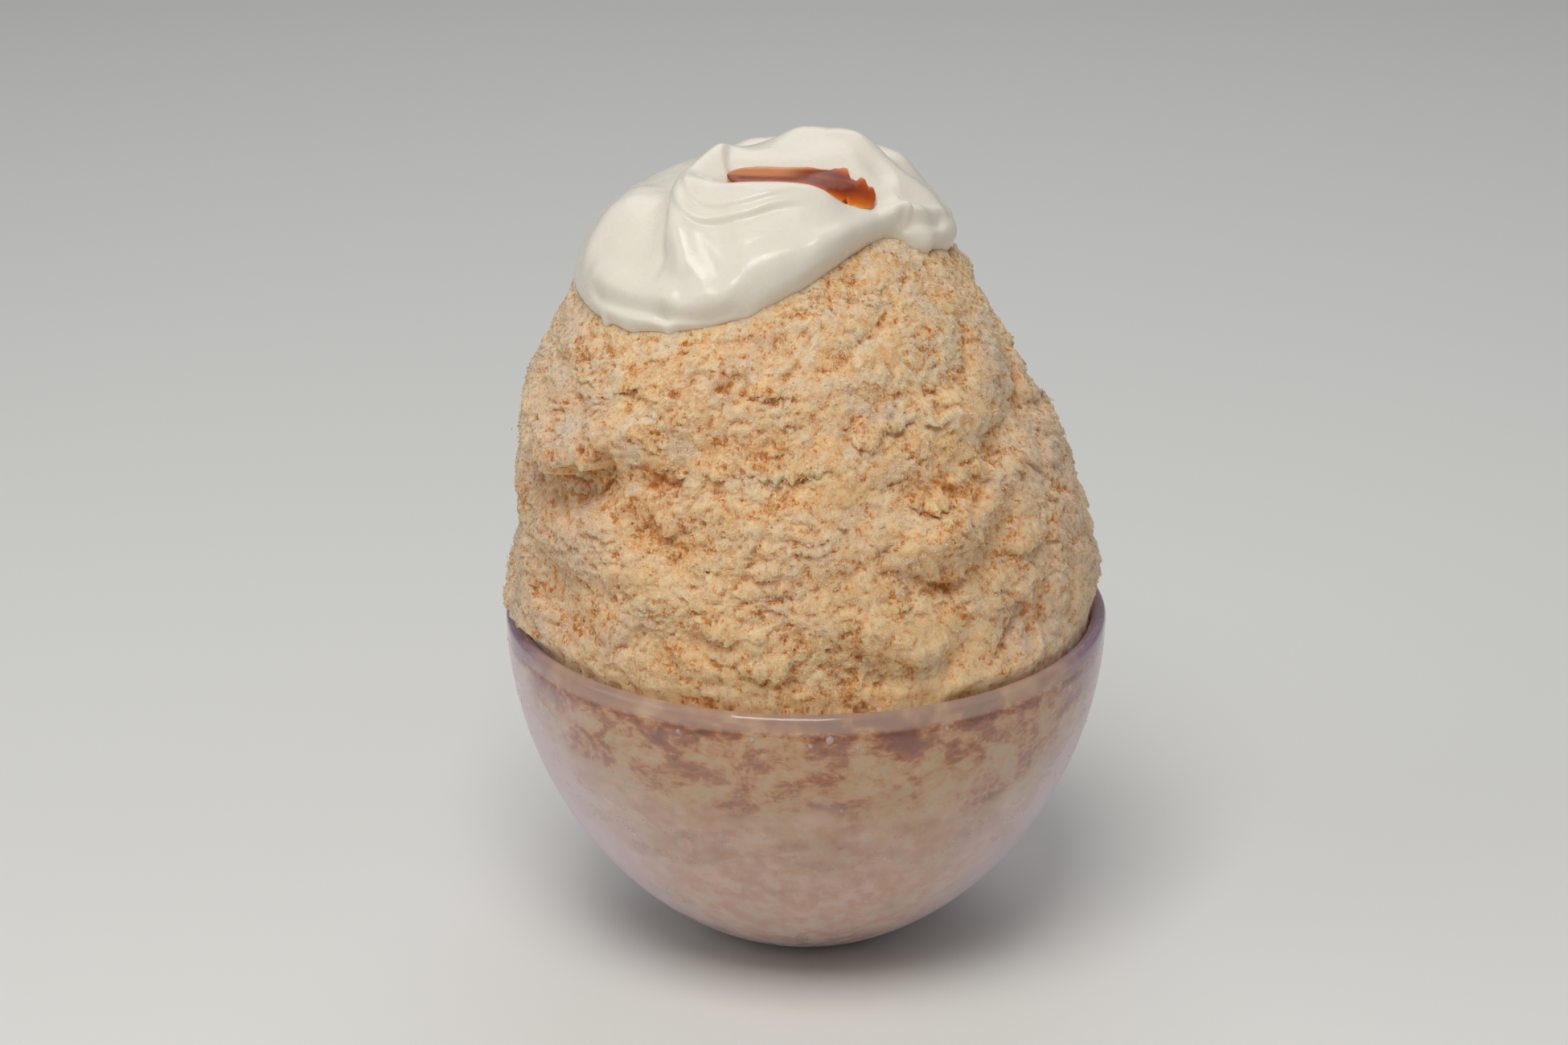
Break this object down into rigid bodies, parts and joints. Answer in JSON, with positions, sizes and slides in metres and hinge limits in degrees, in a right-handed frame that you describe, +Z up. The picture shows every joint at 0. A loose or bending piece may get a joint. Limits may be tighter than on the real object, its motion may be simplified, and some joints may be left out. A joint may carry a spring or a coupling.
{
  "type": "shaved ice dessert",
  "caption": "Tall leaning heap of syrup-soaked shaved ice in a rounded frosted glass bowl, with draped whipped cream and caramel sauce on top.",
  "frame": {"origin": "centre of the small flat spot under the bowl that it stands on", "axes": "+Z up, the longest way; -Y is the front, where the cream reaches lowest; +X is to the right seen from the front"},
  "size_m": [0.12, 0.12, 0.1645],
  "materials": {
    "frosted_glass": "frosted outside, clear lip",
    "syruped_ice": "rough, fluffy, crystalline",
    "cream": "soft gloss",
    "caramel": "high gloss, syrupy"
  },
  "bodies": {
    "root": {"glass_bowl": "frosted_glass", "shaved_ice": "syruped_ice", "whipped_cream": "cream", "caramel_sauce": "caramel"}
  },
  "joints": []
}
